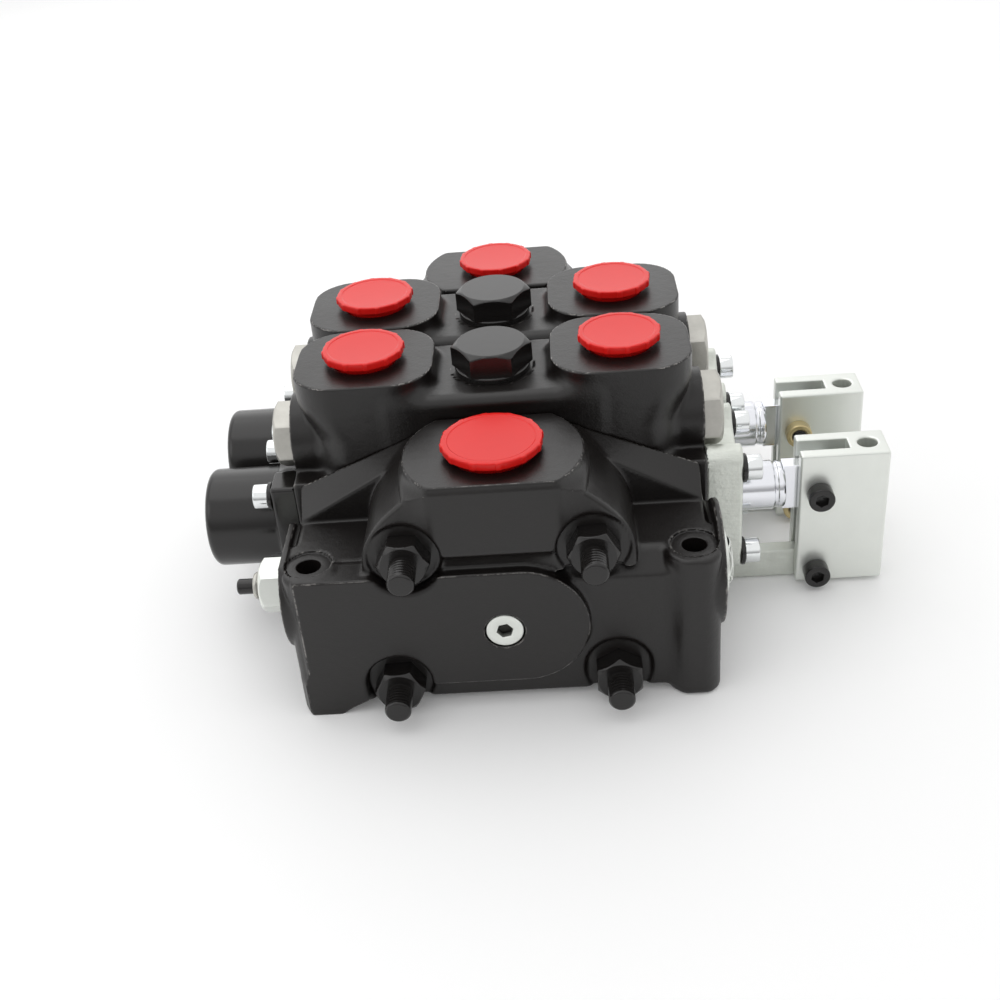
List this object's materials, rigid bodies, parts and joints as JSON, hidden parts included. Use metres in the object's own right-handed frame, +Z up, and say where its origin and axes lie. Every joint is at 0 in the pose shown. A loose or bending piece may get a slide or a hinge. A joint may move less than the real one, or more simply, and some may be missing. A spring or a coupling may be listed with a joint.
{
  "type": "sectional control valve",
  "caption": "Hydraulic sectional directional valve: stacked spool sections between two covers on tie rods, spring-centred spools and slotted lever blocks.",
  "frame": {"origin": "middle of the four mounting holes, on the plane of the feet", "axes": "+X along the spools towards the levers, +Y from the inlet cover to the outlet cover, +Z up"},
  "size_m": [0.2737, 0.222, 0.1184],
  "materials": {
    "black_casting": "satin black paint on cast iron",
    "red_plastic": "satin red polyethylene",
    "black_steel": "black oxide",
    "zinc_steel": "zinc plated",
    "zinc_casting": "zinc plated casting",
    "chrome": "polished chrome",
    "spring_steel": "ground steel",
    "yellow_zinc": "yellow zinc plated",
    "rubber": "matt nitrile rubber"
  },
  "bodies": {
    "housing": {"inlet_cover": "black_casting", "valve_section_1": "black_casting", "valve_section_2": "black_casting", "outlet_cover": "black_casting", "tie_rods": "black_steel", "tie_rod_nuts_front": "black_steel", "tie_rod_nuts_rear": "black_steel", "port_cap_p": "red_plastic", "port_cap_t": "red_plastic", "port_cap_a1": "red_plastic", "port_cap_b1": "red_plastic", "port_cap_a2": "red_plastic", "port_cap_b2": "red_plastic", "check_plug_1": "black_steel", "check_plug_2": "black_steel", "side_plugs_left": "zinc_steel", "side_plugs_right": "zinc_steel", "spring_cap_1": "black_steel", "spring_cap_2": "black_steel", "spring_cap_screws": "zinc_steel", "spring_cap_washers": "black_steel", "lever_bracket_1": "zinc_casting", "lever_bracket_2": "zinc_casting", "bracket_screws": "zinc_steel", "bracket_washers": "black_steel", "spool_seals_left": "rubber", "spool_seals_right": "rubber", "face_seals": "rubber", "relief_cartridge": "zinc_steel", "relief_locknut": "zinc_steel", "relief_adjuster": "black_steel", "inlet_plug": "zinc_steel", "outlet_plug_left": "zinc_steel", "outlet_plug_right": "zinc_steel", "gauge_plug": "zinc_steel"},
    "spool_1": {"spool_1": "chrome", "spool_end_bolt_1": "black_steel", "spring_seats_1": "black_steel", "centring_spring_1": "spring_steel"},
    "lever_1": {"lever_block_1": "zinc_steel", "lever_screws_1": "black_steel", "lever_nuts_1": "yellow_zinc"},
    "check_1": {"check_poppet_1": "spring_steel", "check_spring_1": "spring_steel"},
    "spool_2": {"spool_2": "chrome", "spool_end_bolt_2": "black_steel", "spring_seats_2": "black_steel", "centring_spring_2": "spring_steel"},
    "lever_2": {"lever_block_2": "zinc_steel", "lever_screws_2": "black_steel", "lever_nuts_2": "yellow_zinc"},
    "check_2": {"check_poppet_2": "spring_steel", "check_spring_2": "spring_steel"},
    "relief_valve_poppet": {"relief_poppet": "spring_steel", "relief_spring": "spring_steel"}
  },
  "joints": [
    {"name": "lever_1_tilt", "type": "hinge", "parent": "housing", "child": "lever_1", "pos_m": [0.1265, -0.022, 0.0072], "axis": [0, 1, 0], "range_deg": [-10.7, 10.7], "stiffness_Nm_per_rad": 6},
    {"name": "spool_1_slide", "type": "slide", "parent": "housing", "child": "spool_1", "axis": [1, 0, 0], "range_m": [-0.007, 0.007]},
    {"name": "check_1_lift", "type": "slide", "parent": "housing", "child": "check_1", "axis": [0, 0, 1], "range_m": [0, 0.003], "stiffness_N_per_m": 600, "springref_m": -0.002},
    {"name": "lever_2_tilt", "type": "hinge", "parent": "housing", "child": "lever_2", "pos_m": [0.1265, 0.028, 0.0072], "axis": [0, 1, 0], "range_deg": [-10.7, 10.7], "stiffness_Nm_per_rad": 6},
    {"name": "spool_2_slide", "type": "slide", "parent": "housing", "child": "spool_2", "axis": [1, 0, 0], "range_m": [-0.007, 0.007]},
    {"name": "check_2_lift", "type": "slide", "parent": "housing", "child": "check_2", "axis": [0, 0, 1], "range_m": [0, 0.003], "stiffness_N_per_m": 600, "springref_m": -0.002},
    {"name": "relief_poppet_lift", "type": "slide", "parent": "housing", "child": "relief_valve_poppet", "axis": [-1, 0, 0], "range_m": [0, 0.0015], "stiffness_N_per_m": 2000, "springref_m": -0.002}
  ],
  "couplings": [
    {"joint": "spool_1_slide", "follows": "lever_1_tilt", "m_per_rad": 0.0373},
    {"joint": "spool_2_slide", "follows": "lever_2_tilt", "m_per_rad": 0.0373}
  ]
}
